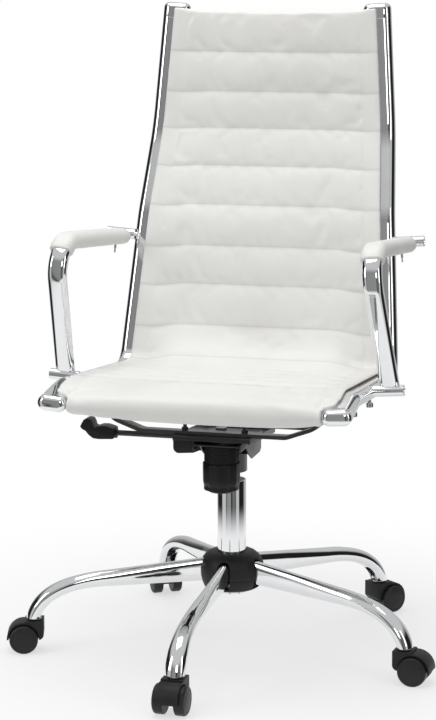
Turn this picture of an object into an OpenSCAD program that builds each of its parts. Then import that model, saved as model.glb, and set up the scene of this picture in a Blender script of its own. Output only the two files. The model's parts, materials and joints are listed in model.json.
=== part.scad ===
// Swivel office chair: ribbed leather sling between two bent chrome side rails,
// loop arms with padded sleeves, tilt mechanism, gas column and five-arm caster base.
// Millimetres. +Z up, the chair faces -Y, the origin is on the swivel axis at the floor.

/* [Side rails] */
// Distance from the middle of the chair to a rail's centre line, above the column
rail_x = 234.3; // [226:0.1:242]
// Lean of each rail towards the middle, degrees
rail_lean = 4; // [3:0.25:5]
// Rails' toe-out towards the front, degrees
rail_toe = 0.95; // [0:0.05:1.5]
// Width of the flat-oval rail tube, across the chair
rail_w = 50; // [46:1:52]
// Thickness of the flat-oval rail tube
rail_t = 27; // [25:1:28]
// Wall of the rail and arm tubes
tube_wall = 2; // [1.5:0.5:3]

/* [Sling] */
// Thickness of the padded sling
sling_t = 22; // [18:1:26]

/* [Arms] */
// Width of the flat-oval arm tube
arm_w = 33.4; // [30:0.1:36]
// Thickness of the flat-oval arm tube
arm_t = 20; // [18:1:22]
// Padding round the arm tube
pad_over = 4.4; // [3:0.1:5]

/* [Column] */
// Outer diameter of the column tube
col_d = 50; // [48:1:52]
// Diameter of the gas cylinder
gas_d = 28; // [27:0.5:28]
// Height of the column tube's rim above the floor
col_top = 309; // [300:1:312]

/* [Base] */
// Distance from the swivel axis to each caster stem
base_r = 346; // [338:1:350]
// Direction of the first base arm, degrees
base_a0 = 53.2; // [0:0.1:72]
// Diameter of the caster wheels
wheel_d = 50; // [48:1:50]
// Distance that a caster's axle trails behind its stem
trail = 19; // [17:0.5:20]

/* [Hidden] */
$fn = 64;
e = 0.01;

// Side rail's centre line in its own plane, as [y, z] corners and the radius at each
rail_v = [[-244, 483], [-172, 494], [180, 461.5], [242.6, 741], [302.4, 893], [326, 1090]];
rail_r = [0, 120, 42, 250, 300, 0];
// Arm loop's centre line
arm_v = [[-45, 489], [-152, 733], [217, 696.5]];
arm_r = [0, 45, 0];
arm_low = [-51.5, 485.5];
arm_high = [226, 700];
// Rest directions of the five casters, degrees
caster_a = [50, 120, 197, 268, 354];
// Everything above the casters is drawn this much too high
drop = 5;
// Tilt axle, pull rod and lever
axle_y = 30; axle_z = 384;
knob_y = -69;
lever_z = 380; pivot_x = -30;
plate_slope = -5.5;

// ---------- path helpers ----------
function unit(v) = v / norm(v);
function crs(a, b) = a[0] * b[1] - a[1] * b[0];
function ang(v) = atan2(v[1], v[0]);
function dir_in(P, i) = unit(P[i] - P[i - 1]);
function turn(P, i) = atan2(crs(dir_in(P, i), dir_in(P, i + 1)), dir_in(P, i) * dir_in(P, i + 1));
function tlen(P, R, i) = (i <= 0 || i >= len(P) - 1) ? 0 : R[i] * tan(abs(turn(P, i)) / 2);
function left(v) = [-v[1], v[0]];
// centre of the arc at corner i
function arc_c(P, R, i) = P[i] - dir_in(P, i) * tlen(P, R, i) + left(dir_in(P, i)) * R[i] * sign(turn(P, i));
// points along the path at offset o to its left
function arc_pts(P, R, i, o, n) = let(s = sign(turn(P, i)), c = arc_c(P, R, i), a0 = ang(-left(dir_in(P, i)) * s))
  [for (k = [0:n]) let(a = a0 + turn(P, i) * k / n) c + (R[i] - s * o) * [cos(a), sin(a)]];
function path_pts(P, R, o, n = 6) = concat([P[0] + left(dir_in(P, 1)) * o],
  [for (i = [1:len(P) - 2]) for (p = arc_pts(P, R, i, o, n)) p],
  [P[len(P) - 1] + left(dir_in(P, len(P) - 1)) * o]);

// a straight run of a section from [y,z] point a to point b
module run(a, b) {
  d = b - a;
  translate([0, a[0], a[1]]) rotate([ang(d) - 90, 0, 0]) linear_extrude(norm(d)) children();
}
// an arc of a section about [y,z] centre c
module bend(c, r, a0, sweep) {
  translate([0, c[0], c[1]]) rotate([sweep < 0 ? a0 + sweep : a0, 0, 0]) rotate([90, 0, 90])
    rotate_extrude(angle = abs(sweep), $fn = 96) translate([r, 0]) rotate(90) children();
}
module sweep_path(P, R) {
  for (i = [1:len(P) - 1])
    run(P[i - 1] + dir_in(P, i) * tlen(P, R, i - 1), P[i] - dir_in(P, i) * tlen(P, R, i)) children();
  for (i = [1:len(P) - 2])
    bend(arc_c(P, R, i), R[i], ang(-left(dir_in(P, i)) * sign(turn(P, i))), turn(P, i)) children();
}
// [point, direction] stations along the path
function stations(P, R, n) = concat([[P[0], dir_in(P, 1)]],
  [for (i = [1:len(P) - 2]) let(s = sign(turn(P, i)), c = arc_c(P, R, i), a0 = ang(-left(dir_in(P, i)) * s))
    for (k = [0:n]) let(a = a0 + turn(P, i) * k / n) [c + R[i] * [cos(a), sin(a)], left([cos(a), sin(a)]) * s]],
  [[P[len(P) - 1], dir_in(P, len(P) - 1)]]);
function oval_pts(w, t, m) = [for (h = [0, 1], k = [0:m]) let(q = -90 + 180 * k / m + 180 * h) [(h == 0 ? 1 : -1) * (w - t) / 2 + t / 2 * cos(q), t / 2 * sin(q)]];
// flat-oval tube swept along the path in one piece
module tube_sweep(P, R, w, t, n = 7, m = 8) {
  S = stations(P, R, n);
  Q = oval_pts(w, t, m);
  N = len(Q);
  L = len(S);
  polyhedron(convexity = 8, points = [for (s = S, q = Q) let(l = left(s[1])) [q[0], s[0][0] + l[0] * q[1], s[0][1] + l[1] * q[1]]],
    faces = concat([[for (k = [N - 1:-1:0]) k]],
      [for (i = [0:L - 2], k = [0:N - 1]) [i * N + k, i * N + (k + 1) % N, (i + 1) * N + (k + 1) % N, (i + 1) * N + k]],
      [[for (k = [0:N - 1]) (L - 1) * N + k]]));
}
module oval(w, t) {
  square([w - t, t], center = true);
  for (s = [-1, 1]) translate([s * (w - t) / 2, 0]) circle(d = t, $fn = 48);
}
// frame of the right-hand rail: x across, y and z along the rail's plane
module rail_frame() { translate([rail_x, 0, 490]) rotate([0, -rail_lean, 0]) rotate([0, 0, rail_toe]) translate([0, 0, -490]) children(); }
module arm_frame() { rail_frame() translate([51, 0, 485]) rotate([0, -1.14, 0]) translate([0, 0, -485]) children(); }
module left_side() { mirror([1, 0, 0]) children(); }

// ---------- base ----------
module lower() { translate([0, 0, -drop]) children(); }
function arm_a(k) = base_a0 + 72 * k;
module at_arm(k) { rotate([0, 0, arm_a(k)]) children(); }
module rod_z(r, z0, z1) { translate([0, 0, z0]) cylinder(r = r, h = z1 - z0); }

module base_hub() color([0.75, 0.76, 0.78]) difference() {
  rod_z(34, 122, 173);
  rod_z(col_d / 2, 121, 174);
}

// centre line of one base arm, t from 0 to 1: straight from the hub, then curving down
function arm_p(t) = t < 0.5 ? [33, 149.5] * (1 - t / 0.5) + [215, 134] * (t / 0.5)
  : let(u = (t - 0.5) / 0.5) (1 - u) * (1 - u) * [215, 134] + 2 * u * (1 - u) * [330, 127] + u * u * [base_r + 1.5, 66];
function arm_d(t) = t >= 1 ? [0, -1] : unit(arm_p(min(1, t + 0.002)) - arm_p(t - 0.002));
function mixv(a, b, t) = a + (b - a) * max(0, min(1, t));
function arm_aa(t) = mixv(9.6, 17.2, (t - 0.25) / 0.6);
function arm_bb(t) = t < 0.62 ? mixv(21, 12.8, t / 0.62) : 12.8;
function arm_pw(t) = mixv(0.62, 1, t / 0.7);
function spow(c, p) = sign(c) * pow(abs(c), p);
function arm_ring(t, w, n) = let(p = arm_p(t), d = arm_d(t), a = arm_aa(t) - w, b = arm_bb(t) - w)
  [for (k = [0:n - 1]) let(q = 360 * k / n, u = a * spow(sin(q), arm_pw(t)), v = b * spow(cos(q), arm_pw(t)))
    [p[0] - d[1] * v, u, p[1] + d[0] * v]];
module arm_loft(w, t0, t1, m, n, zend) {
  pts = concat([for (i = [0:m]) for (p = arm_ring(t0 + (t1 - t0) * i / m, w, n)) p],
    [for (p = arm_ring(t1, w, n)) [p[0], p[1], zend]]);
  polyhedron(points = pts, convexity = 6, faces = concat(
    [[for (k = [0:n - 1]) n - 1 - k]],
    [for (i = [0:m]) for (k = [0:n - 1]) [i * n + k, i * n + (k + 1) % n, (i + 1) * n + (k + 1) % n, (i + 1) * n + k]],
    [[for (k = [0:n - 1]) (m + 1) * n + k]]));
}
module base_arms() color([0.8, 0.81, 0.83]) for (k = [0:4]) at_arm(k) difference() {
  intersection() {
    arm_loft(0, 0, 1, 18, 20, 65.9);
    translate([0, -40, 40]) cube([400, 80, 140]);
  }
  arm_loft(2, -0.02, 1, 14, 16, 60);
  rod_z(34, 100, 190);
  // the tube's tip is open on its inner side, where the socket shows
  translate([base_r, 0, 0]) { translate([-24, -9.5, 60]) cube([20, 19, 31]);
    translate([-4, 0, 91]) rotate([0, -90, 0]) cylinder(r = 9.5, h = 30); }
}

module cover_slots(z0, z1) for (k = [0:4]) at_arm(k) {
  translate([28, -10.6, z0]) cube([50, 21.2, z1 - z0]);
  translate([28, 0, z1]) rotate([0, 90, 0]) cylinder(r = 10.6, h = 50);
}
module hub_cover_upper() color([0.08, 0.08, 0.08]) difference() {
  rotate_extrude($fn = 96) polygon(concat([[25.3, 182.6], [28, 182.4]],
    [for (q = [75:-15:0]) [28 + 28 * cos(q), 151.5 + 31 * sin(q)]], [[55.9, 144], [55.3, 138.4], [52.3, 138.4], [52.5, 151.5]],
    [for (q = [15:15:75]) [28 + 24.6 * cos(q), 151.5 + 27.8 * sin(q)]], [[25.3, 179.4]]));
  cover_slots(130, 161);
}
module hub_cover_lower() color([0.08, 0.08, 0.08]) difference() {
  rotate_extrude($fn = 96) polygon([[26, 117], [44.5, 117], [49, 120], [53, 129], [54.9, 138], [52.1, 138], [49.8, 130], [47, 123], [43.5, 120], [26, 120]]);
  cover_slots(121, 161);
}
module caster_sockets() color([0.7, 0.71, 0.72]) for (k = [0:4]) at_arm(k) translate([base_r, 0, 0]) difference() {
  union() { rod_z(7.6, 63.5, 75.5); rod_z(6.2, 75, 81); rod_z(12.6, 63.5, 65.8); }
  rod_z(5.55, 63, 80);
}

// ---------- casters ----------
module at_caster(k) { at_arm(k) translate([base_r, 0, 0]) rotate([0, 0, caster_a[k] - arm_a(k)]) children(); }
module axle_dir() { translate([trail, 0, wheel_d / 2]) rotate([-90, 0, 0]) children(); }
module caster_hood(k) color([0.1, 0.1, 0.1]) at_caster(k) difference() {
  union() {
    // side profile: arch over the wheels' inner halves and squared stem block
    translate([0, 19, 0]) rotate([90, 0, 0]) linear_extrude(38) {
      intersection() { translate([trail, wheel_d / 2]) circle(r = 29.6, $fn = 72); translate([-20, 24]) square([80, 60]); }
      difference() { translate([-16, 24]) square([33, 33]); translate([-16, 24]) square(9); }
      translate([-7, 33]) circle(r = 9);
    }
    // centre web that carries the axle
    translate([0, 9.2, 0]) rotate([90, 0, 0]) linear_extrude(18.4) {
      translate([-8, 24]) square([36, 12]);
      translate([trail, 25]) circle(r = 10);
    }
  }
  for (s = [-1, 1]) axle_dir() translate([0, 0, s > 0 ? 9.3 : -40]) cylinder(r = wheel_d / 2 + 1.4, h = 30.7, $fn = 72);
  axle_dir() translate([0, 0, -30]) cylinder(r = 3, h = 60);
  rod_z(5.5, 38, 70);
}
module caster_pins(k) color([0.72, 0.73, 0.74]) at_caster(k) {
  rod_z(5.5, 38, 74.5);
  rod_z(8, 57, 58);
  axle_dir() translate([0, 0, -24]) cylinder(r = 3, h = 48);
}
module caster_wheel(k, s) color([0.12, 0.12, 0.12]) at_caster(k) axle_dir() mirror([0, 0, s > 0 ? 0 : 1])
  rotate_extrude($fn = 96) polygon([[3.05, 9.7], [23.5, 9.7], [wheel_d / 2 - 0.4, 10.4], [wheel_d / 2, 11.5], [wheel_d / 2, 23.5], [wheel_d / 2 - 0.7, 25.6],
    [wheel_d / 2 - 2.5, 27], [20.5, 27.4], [19.8, 26.8], [18.6, 27.2], [12, 28.3], [0, 28.8], [0, 24.6], [3.05, 24.6]]);

// ---------- column ----------
module column_tube() color([0.8, 0.81, 0.83]) difference() {
  rod_z(col_d / 2, 108, col_top);
  rod_z(23, 112, col_top + 1);
  rod_z(5.3, 107, 113);
}
module column_bush() color([0.15, 0.15, 0.15]) difference() {
  rod_z(23, col_top - 62, col_top);
  rod_z(gas_d / 2 + 0.05, col_top - 63, col_top + 1);
}
module thrust_bearing() color([0.65, 0.66, 0.67]) difference() {
  rod_z(15, 112, 118);
  rod_z(5.3, 111, 119);
}
module piston_rod() color([0.78, 0.79, 0.8]) {
  rod_z(5, 104, 250);
  rod_z(9, 118.3, 121);
  rod_z(10.6, 250, 258);
}
module gas_cylinder() color([0.12, 0.12, 0.13]) difference() {
  rod_z(gas_d / 2, 126, 366);
  rod_z(10.65, 131, 340);
  rod_z(5.05, 125, 132);
  rod_z(4.05, 352, 367);
}
module valve_button() color([0.75, 0.2, 0.15]) rod_z(4, 357, 374.7);

// ---------- mechanism ----------
module rot_x(y, z, a) { translate([0, y, z]) rotate([a, 0, 0]) translate([0, -y, -z]) children(); }
module x_cyl(y, z, r, x0, x1) { translate([x0, y, z]) rotate([0, 90, 0]) cylinder(r = r, h = x1 - x0); }
module box(x0, x1, y0, y1, z0, z1) { translate([x0, y0, z0]) cube([x1 - x0, y1 - y0, z1 - z0]); }

module mechanism_base() color([0.1, 0.1, 0.1]) difference() {
  union() {
    rod_z(27, 325, 366);
    box(-42, 42, -34, 44, 363, 366);
    box(-42, 42, -36, -33, 363, 391);
    box(-42, 42, -102, -33, 388, 391);
    for (s = [-1, 1]) translate([s > 0 ? 39 : -42, 0, 0]) rotate([90, 0, 90]) linear_extrude(3)
      polygon([[-102, 380], [-102, 393], [18, 391.5], [34, 391.5], [44, 385], [44, 358], [36, 352], [-20, 352], [-44, 366], [-60, 380]]);
  }
  rod_z(gas_d / 2, 300, 400);
  translate([0, knob_y, 380]) cylinder(r = 7, h = 20);
  x_cyl(axle_y, axle_z, 5, -60, 60);
  box(-50, -30, -9.8, 9.8, 366, 400);
}
function plate_z(y) = 410 + (y + 120) * tan(plate_slope);
module on_plate() { translate([0, -120, 410]) rotate([plate_slope, 0, 0]) translate([0, 120, -410]) children(); }
module mechanism_top_plate() color([0.1, 0.1, 0.1]) difference() {
  union() {
    on_plate() {
      box(-67, 67, -136, 45, 408.5, 411.5);
      for (s = [-1, 1]) box(s > 0 ? 64 : -67, s > 0 ? 67 : -64, -136, 45, 402, 409);
      box(-67, 67, -136, -133, 403, 409);
    }
    for (s = [-1, 1]) translate([s > 0 ? 43 : -46, 0, 0]) rotate([90, 0, 90]) linear_extrude(3) {
      translate([axle_y, axle_z]) circle(r = 9.5);
      polygon([[axle_y - 9.5, axle_z], [axle_y - 22, plate_z(8) - 0.8], [axle_y + 13, plate_z(43) - 0.8], [axle_y + 9.5, axle_z]]);
    }
  }
  for (s = [-1, 1]) x_cyl(axle_y, axle_z, 5.05, s > 0 ? 42.5 : -46.5, s > 0 ? 46.5 : -42.5);
  box(-6.6, 6.6, knob_y - 17, knob_y + 8, 380, 430);
  for (x = [-52, 52], y = [-113, 30]) on_plate() translate([x, y, 395]) cylinder(r = 3.2, h = 30);
}
module tilt_axle() color([0.72, 0.73, 0.74]) {
  x_cyl(axle_y, axle_z, 5, -48.6, 48.6);
  x_cyl(axle_y, axle_z, 5.8, 46.4, 48.6);
  x_cyl(axle_y, axle_z, 5.8, -48.6, -46.4);
}
rod_top = plate_z(knob_y) + 5.4;
module tension_rod() color([0.6, 0.61, 0.62]) translate([0, knob_y, 0]) {
  rod_z(4.8, 309, rod_top);
  rod_z(9.5, rod_top, rod_top + 5);
}
module coil(r, w, z0, z1, turns, n) {
  m = turns * n;
  pts = [for (i = [0:m]) let(a = 360 * i / n, z = z0 + (z1 - z0) * i / m) for (k = [0:7]) let(q = 45 * k)
    [(r + w * cos(q)) * cos(a), (r + w * cos(q)) * sin(a), z + w * sin(q)]];
  polyhedron(points = pts, convexity = 10, faces = concat([[for (k = [7:-1:0]) k]],
    [for (i = [0:m - 1]) for (k = [0:7]) [i * 8 + k, i * 8 + (k + 1) % 8, (i + 1) * 8 + (k + 1) % 8, (i + 1) * 8 + k]],
    [[for (k = [0:7]) m * 8 + k]]));
}
module tension_spring() color([0.5, 0.51, 0.53]) translate([0, knob_y, 0]) coil(16, 2.2, 332.9, 382.6, 5, 18);
module spring_cup() color([0.6, 0.61, 0.62]) translate([0, knob_y, 0]) difference() {
  union() { rod_z(21, 327, 330.5); rod_z(11, 330, 336); }
  rod_z(4.85, 326, 337);
}
module tension_sleeve() color([0.08, 0.08, 0.08]) translate([0, knob_y, 0]) difference() {
  union() {
    rod_z(28.4, 338, 388);
    for (z = [340:3.2:386]) translate([0, 0, z]) rotate_extrude($fn = 72) polygon([[28, -0.9], [29.6, -0.3], [29.6, 0.3], [28, 0.9]]);
  }
  rod_z(24, 337, 385);
  rod_z(7, 380, 389);
}
module tension_knob() color([0.1, 0.1, 0.1]) translate([0, knob_y, 0]) difference() {
  union() {
    rod_z(9, 306, 326.7);
    translate([0, 0, 314]) cylinder(r = 31.8, h = 41);
    rotate_extrude($fn = 72) polygon([[0, 303.5], [20, 304], [28, 309], [31.8, 314.2], [0, 314.2]]);
    for (q = [0:15:345]) rotate([0, 0, q]) translate([31.2, -1.8, 315]) cube([1.4, 3.6, 39]);
  }
  difference() { rod_z(30.2, 308, 356); rod_z(9, 300, 326.7); }
  rod_z(4.85, 302, 330);
}
module lever_pivot() color([0.2, 0.2, 0.2]) difference() {
  union() {
    box(-37, -23, -9, 9, 366.3, 371.5);
    for (s = [-1, 1]) box(-37, -23, s > 0 ? 6 : -9, s > 0 ? 9 : -6, 366.3, 388);
    translate([pivot_x, 9, lever_z]) rotate([90, 0, 0]) cylinder(r = 2.5, h = 18);
  }
}
module lever_rod() color([0.12, 0.12, 0.12]) difference() {
  union() {
    x_cyl(0, lever_z, 5, -236, -20);
    box(-22, 16, -5, 5, 375, 383);
    x_cyl(0, lever_z, 5.6, -38, -22);
  }
  translate([pivot_x, 9, lever_z]) rotate([90, 0, 0]) cylinder(r = 2.55, h = 18);
}
// finger grip: a paddle with a curled-up tip, thickened over the rod
module lever_handle() color([0.06, 0.06, 0.06]) difference() {
  union() {
    x_cyl(0, lever_z, 9.5, -222, -208);
    translate([0, 13, 0]) rotate([90, 0, 0]) linear_extrude(26) offset(r = 3) offset(delta = -3)
      polygon([[-210, 371], [-210, 389], [-216, 391], [-226, 393.5], [-236, 393], [-244, 390], [-248, 392], [-249, 397], [-252, 403],
        [-258, 405.5], [-265, 403], [-269, 396], [-272, 390], [-268, 386], [-262, 383], [-256, 376], [-248, 370.5], [-238, 369.5]]);
  }
  x_cyl(0, lever_z, 5, -236.5, -200);
}
module lever_housing() color([0.07, 0.07, 0.07]) difference() {
  translate([0, 19, 0]) rotate([90, 0, 0]) linear_extrude(38) {
    polygon([[-43, 360], [-52, 361], [-64, 356], [-90, 354], [-90, 384], [-43, 384]]);
    translate([-90, 364]) circle(r = 10);
    translate([-100, 364]) square([12, 20]);
  }
  box(-110, -42, -10.2, 10.2, 366.1, 400);
}
module mounting_bolts() color([0.12, 0.12, 0.12]) for (x = [-52, 52], y = [-113, 30]) on_plate() translate([x, y, 0]) {
  rod_z(3.2, 404.5, y < 0 ? 429 : 426);
  translate([0, 0, 404.8]) cylinder(r = 5.8, h = 3.7, $fn = 6);
  translate([0, 0, 418.4]) cylinder(r = 5.8, h = 5, $fn = 6);
}

// ---------- seat frame ----------
function rail_at(z) = let(P = rail_v) z < 741 ? P[2] + (P[3] - P[2]) * (z - P[2][1]) / (P[3][1] - P[2][1])
  : z < 893 ? P[3] + (P[4] - P[3]) * (z - P[3][1]) / (P[4][1] - P[3][1])
  : P[4] + (P[5] - P[4]) * (z - P[4][1]) / (P[5][1] - P[4][1]);
back_z = [566, 846, 1020];
// where the seat stretchers' screws enter the rails
foot_p = [[-113, 481], [30, 468]];
module screw_at(p, r, x0, x1) { translate([x0, p[0], p[1]]) rotate([0, 90, 0]) cylinder(r = r, h = x1 - x0); }
module rail_body() color([0.8, 0.81, 0.83]) difference() {
  tube_sweep(rail_v, rail_r, rail_w, rail_t);
  tube_sweep(concat([rail_v[0] - dir_in(rail_v, 1)], [for (i = [1:4]) rail_v[i]], [rail_v[5] + dir_in(rail_v, 5)]), rail_r,
    rail_w - 2 * tube_wall, rail_t - 2 * tube_wall);
  for (z = back_z) { screw_at(stretcher_p(z), 3, -30, 30); screw_at(stretcher_p(z), 5, rail_w / 2 - 4, 30); }
  for (p = [arm_low, arm_high]) screw_at(p, 4, 10, 30);
  for (q = foot_p) translate([0, q[0], 440]) cylinder(r = 3, h = q[1] - 438);
}
function stretcher_p(z) = rail_at(z) - left(unit(rail_at(z + 1) - rail_at(z - 1))) * 6.5;
module side_rail_right() rail_frame() rail_body();
module side_rail_left() left_side() side_rail_right();
module cap_body(p, d, h) color([0.82, 0.83, 0.85]) {
  translate([0, p[0], p[1]]) rotate([ang(d) - 90, 0, 0]) {
    hull() {
      linear_extrude(h - 9) oval(rail_w, rail_t);
      translate([0, 0, h - 5]) linear_extrude(2) oval(rail_w - 3, rail_t - 3);
      translate([0, 0, h - 1.5]) linear_extrude(1.5) oval(rail_w - 10, rail_t - 10);
    }
    translate([0, 0, -15]) linear_extrude(15.2) oval(rail_w - 2 * tube_wall - 1, rail_t - 2 * tube_wall - 1);
  }
}
module top_cap() rail_frame() cap_body(rail_v[5], dir_in(rail_v, 5), 28);
module top_caps() { top_cap(); left_side() top_cap(); }
module front_cap() rail_frame() cap_body(rail_v[0], -dir_in(rail_v, 1), 18);
module front_caps() { front_cap(); left_side() front_cap(); }

// flat bar under the seat, from rail to rail, bolted to the tilt plate
module stretcher_bar(y, z0, foot, x_foot) {
  P = [[-x_foot - 24, foot], [-x_foot, foot], [-172, z0 + 16.5], [-126, z0], [126, z0], [172, z0 + 16.5], [x_foot, foot], [x_foot + 24, foot]];
  R = [0, 12, 30, 30, 30, 30, 12, 0];
  rot_x(y, z0, plate_slope) translate([0, y + 15, 0]) rotate([90, 0, 0]) linear_extrude(30)
    polygon(concat(path_pts(P, R, 3.25, 5), [let(q = path_pts(P, R, -3.25, 5)) for (i = [len(q) - 1:-1:0]) q[i]]));
}
module seat_stretcher_front() color([0.16, 0.16, 0.17]) difference() {
  stretcher_bar(-113, plate_z(-113) + 5, 470.2, 212);
  for (x = [-52, 52]) on_plate() translate([x, -113, 395]) cylinder(r = 3.2, h = 40);
  for (s = [0, 1]) mirror([s, 0, 0]) rail_frame() translate([0, -113, 440]) cylinder(r = 3, h = 43);
}
module seat_stretcher_rear() color([0.16, 0.16, 0.17]) difference() {
  stretcher_bar(30, plate_z(30) + 5, 456.8, 208);
  for (x = [-52, 52]) on_plate() translate([x, 30, 395]) cylinder(r = 3.2, h = 40);
  for (s = [0, 1]) mirror([s, 0, 0]) rail_frame() translate([0, 30, 440]) cylinder(r = 3, h = 30);
}
module back_stretchers() color([0.8, 0.81, 0.83]) for (z = back_z) let(p = stretcher_p(z), d = rail_at(z + 1) - rail_at(z - 1)) difference() {
  intersection() {
    translate([-260, p[0], p[1]]) rotate([0, 90, 0]) rotate([0, 0, ang(d) + 90]) linear_extrude(520) oval(26, 10);
    rail_frame() translate([-400, 0, 300]) cube([400 - 25.05, 500, 1000]);
    left_side() rail_frame() translate([-400, 0, 300]) cube([400 - 25.05, 500, 1000]);
  }
  for (s = [0, 1]) mirror([s, 0, 0]) rail_frame() screw_at(p, 3, -42, 0);
}
module screws_right() rail_frame() {
  for (z = back_z) { screw_at(stretcher_p(z), 3, -40, 22); screw_at(stretcher_p(z), 5, rail_w / 2 - 4, rail_w / 2 - 1.6); }
  for (q = foot_p) translate([0, q[0], q[1] - 25.5]) { cylinder(r = 3, h = 25.5); cylinder(r = 6, h = 7); }
}
module stretcher_screws() color([0.7, 0.71, 0.72]) { screws_right(); left_side() screws_right(); }

// ---------- arms ----------
module arm_body() color([0.8, 0.81, 0.83]) difference() {
  union() {
    arm_frame() difference() {
      tube_sweep(arm_v, arm_r, arm_w, arm_t, 12);
      tube_sweep([arm_v[0] - dir_in(arm_v, 1), arm_v[1], arm_v[2] + dir_in(arm_v, 2)], arm_r, arm_w - 2 * tube_wall, arm_t - 2 * tube_wall, 12);
    }
    rail_frame() { screw_at(arm_low, 9.6, rail_w / 2 - 1.2, 76); screw_at(arm_high, 9.6, rail_w / 2 - 1.2, 78); }
  }
  rail_frame() {
    tube_sweep(rail_v, rail_r, rail_w + 0.1, rail_t + 0.1);
    screw_at(arm_low, 4, 10, 80); screw_at(arm_high, 4, 10, 82);
    screw_at(arm_low, 7.6, 73, 80); screw_at(arm_high, 7.6, 75, 82);
  }
}
module arm_right() arm_body();
module arm_left() left_side() arm_body();
module bolts_right() rail_frame() {
  screw_at(arm_low, 4, 14, 74); screw_at(arm_low, 7.5, 73, 75.4);
  screw_at(arm_high, 4, 14, 76); screw_at(arm_high, 7.5, 75, 77.4);
}
module arm_bolts() color([0.7, 0.71, 0.72]) { bolts_right(); left_side() bolts_right(); }
// padded sleeve over the top of the arm loop
module pad_body() color([0.92, 0.91, 0.88]) arm_frame() {
  c = arc_c(arm_v, arm_r, 1);
  d = dir_in(arm_v, 2);
  A = c + arm_r[1] * [cos(140), sin(140)];
  a1 = ang(left(d));
  // corner where the tangents at the sleeve's front end and along the top meet
  K = c + arm_r[1] / cos((140 - a1) / 2) * [cos((140 + a1) / 2), sin((140 + a1) / 2)];
  E = [206, K[1] + (206 - K[0]) * d[1] / d[0]];
  difference() {
    tube_sweep([A, K, E], [0, arm_r[1] - 0.01, 0], arm_w + 2 * pad_over, arm_t + 2 * pad_over, 9);
    tube_sweep(arm_v, arm_r, arm_w + 0.4, arm_t + 0.4, 12);
  }
}
module arm_pad_right() pad_body();
module arm_pad_left() left_side() pad_body();
module pull() color([0.75, 0.76, 0.77]) arm_frame() translate([-2, 176, 671]) { box(-1, 1, -2.2, 2.2, 0, 9); box(-2, 2, -1, 1, 8, 14.5); }
module zip_pulls() { pull(); left_side() pull(); }

// ---------- sling ----------
sling_v = [rail_v[0] - dir_in(rail_v, 1) * 16, rail_v[1], rail_v[2], rail_v[3], rail_v[4], rail_v[5] + dir_in(rail_v, 5) * 22];
sling_r = [0, 120, 92, 250, 300, 0];
module slab(R, n0, n1) rotate([90, 0, 90]) translate([0, 0, -320]) linear_extrude(640)
  polygon(concat(path_pts(sling_v, R, n1), [let(q = path_pts(sling_v, R, n0)) for (i = [len(q) - 1:-1:0]) q[i]]));
module inboard(x) { rail_frame() translate([-640, -400, 300]) cube([640 + x, 900, 1000]); }
module sling() color([0.93, 0.92, 0.89]) union() {
  intersection() { slab(sling_r, 1, sling_t + 0.5); inboard(-rail_w / 2 - 0.6); left_side() inboard(-rail_w / 2 - 0.6); }
  difference() {
    intersection() { slab(rail_r, rail_t / 2 + 0.9, sling_t); inboard(1); left_side() inboard(1); }
    intersection() { inboard(-rail_w / 2 - 4); left_side() inboard(-rail_w / 2 - 4); }
  }
  // thick front roll, over the edge between the rails' front ends
  intersection() {
    rotate([90, 0, 90]) translate([0, 0, -320]) linear_extrude(640) polygon([[-180, 486], [-180, 509], [-200, 507.5], [-222, 506], [-240, 503.5],
      [-252, 499], [-260, 491], [-263, 482], [-260, 472], [-252, 464.5], [-240, 461], [-226, 462.5], [-208, 469]]);
    inboard(-rail_w / 2 - 0.6); left_side() inboard(-rail_w / 2 - 0.6);
  }
}

lower() base_hub();
lower() base_arms();
lower() hub_cover_upper();
lower() hub_cover_lower();
lower() caster_sockets();
caster_hood(0);  // caster_hood_1
caster_pins(0);  // caster_pins_1
caster_wheel(0, 1);  // caster_wheel_1a
caster_wheel(0, -1);  // caster_wheel_1b
caster_hood(1);  // caster_hood_2
caster_pins(1);  // caster_pins_2
caster_wheel(1, 1);  // caster_wheel_2a
caster_wheel(1, -1);  // caster_wheel_2b
caster_hood(2);  // caster_hood_3
caster_pins(2);  // caster_pins_3
caster_wheel(2, 1);  // caster_wheel_3a
caster_wheel(2, -1);  // caster_wheel_3b
caster_hood(3);  // caster_hood_4
caster_pins(3);  // caster_pins_4
caster_wheel(3, 1);  // caster_wheel_4a
caster_wheel(3, -1);  // caster_wheel_4b
caster_hood(4);  // caster_hood_5
caster_pins(4);  // caster_pins_5
caster_wheel(4, 1);  // caster_wheel_5a
caster_wheel(4, -1);  // caster_wheel_5b
lower() column_tube();
lower() column_bush();
lower() thrust_bearing();
lower() piston_rod();
lower() gas_cylinder();
lower() valve_button();
lower() mechanism_base();
lower() mechanism_top_plate();
lower() tilt_axle();
lower() tension_rod();
lower() tension_spring();
lower() spring_cup();
lower() tension_sleeve();
lower() tension_knob();
lower() lever_pivot();
lower() lever_rod();
lower() lever_handle();
lower() lever_housing();
lower() mounting_bolts();
lower() side_rail_left();
lower() side_rail_right();
lower() top_caps();
lower() front_caps();
lower() seat_stretcher_front();
lower() seat_stretcher_rear();
lower() back_stretchers();
lower() stretcher_screws();
lower() arm_left();
lower() arm_right();
lower() arm_pad_left();
lower() arm_pad_right();
lower() arm_bolts();
lower() sling();
lower() zip_pulls();
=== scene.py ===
import bpy, bmesh, json, math
import numpy as np
from mathutils import Matrix, Vector

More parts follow.
